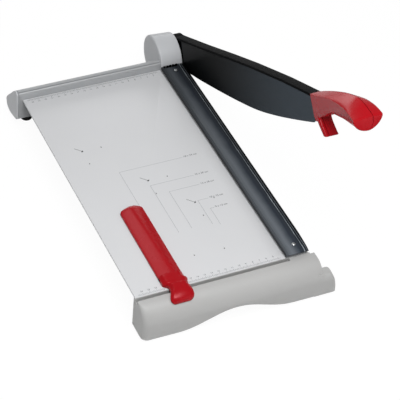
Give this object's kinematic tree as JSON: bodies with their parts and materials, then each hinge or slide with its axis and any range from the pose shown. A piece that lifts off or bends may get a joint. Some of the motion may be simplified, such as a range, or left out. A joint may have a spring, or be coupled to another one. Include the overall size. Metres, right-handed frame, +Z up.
{
  "type": "guillotine paper cutter",
  "caption": "Desk guillotine with a flat measuring table, a pivoting lever blade with a moulded handle, a sprung clamp bar and a sliding side stop.",
  "frame": {"origin": "middle of the front left foot's underside, on the desk", "axes": "+X along the front edge towards the blade, +Y back towards the hinge, +Z up"},
  "size_m": [0.2911, 0.5748, 0.3489],
  "materials": {
    "housing_plastic": "fine moulded grain, pale warm grey",
    "drum_plastic": "silver-grey satin",
    "rail_metal": "satin, drawn along its length",
    "table_coating": "pale silver-grey coating with printed scales",
    "black_coating": "smooth black",
    "blade_coating": "dark slate, satin",
    "bright_steel": "bright",
    "bush_bronze": "turned",
    "red_plastic": "semi-gloss red",
    "smoked_plastic": "smoked dark grey",
    "black_plastic": "black",
    "foot_rubber": "black rubber"
  },
  "bodies": {
    "base": {"front_housing": "housing_plastic", "rear_rail": "rail_metal", "rail_end_cap": "housing_plastic", "pivot_housing": "drum_plastic", "pivot_bush_left": "bush_bronze", "pivot_bush_right": "bush_bronze", "friction_washer": "bright_steel", "table_plate": "table_coating", "bed_rail": "black_coating", "left_stringer": "black_coating", "bed_knife": "bright_steel", "bed_knife_screw_1": "bright_steel", "bed_knife_screw_2": "bright_steel", "bed_knife_screw_3": "bright_steel", "bed_knife_screw_4": "bright_steel", "clamp_spring_front": "bright_steel", "clamp_spring_rear": "bright_steel", "foot_front_left": "foot_rubber", "foot_front_right": "foot_rubber", "foot_rear_left": "foot_rubber", "foot_rear_right": "foot_rubber"},
    "arm": {"pivot_shaft": "bright_steel", "lever_arm": "black_coating", "blade": "blade_coating", "blade_screw_1": "bright_steel", "blade_screw_2": "bright_steel", "blade_screw_3": "bright_steel", "blade_screw_4": "bright_steel", "blade_screw_5": "bright_steel", "handle_left_shell": "red_plastic", "handle_right_shell": "red_plastic", "handle_screw_1": "bright_steel", "handle_screw_2": "bright_steel"},
    "clamp": {"clamp_bar": "smoked_plastic", "clamp_post_front": "bright_steel", "clamp_post_rear": "bright_steel", "clamp_screw_front": "bright_steel", "clamp_screw_rear": "bright_steel"},
    "stop": {"stop_arm": "red_plastic", "stop_key": "black_plastic"}
  },
  "joints": [
    {"name": "blade_hinge", "type": "hinge", "parent": "base", "child": "arm", "pos_m": [0.2464, 0.472, 0.0545], "axis": [-1, 0, 0], "range_deg": [-25.2, 33]},
    {"name": "clamp_press", "type": "slide", "parent": "base", "child": "clamp", "axis": [0, 0, -1], "range_m": [0, 0.0041], "stiffness_N_per_m": 300, "springref_m": -0.012, "deforming": ["clamp_spring_front", "clamp_spring_rear"]},
    {"name": "stop_slide", "type": "slide", "parent": "base", "child": "stop", "axis": [1, 0, 0], "range_m": [-0.035, 0.135]}
  ]
}
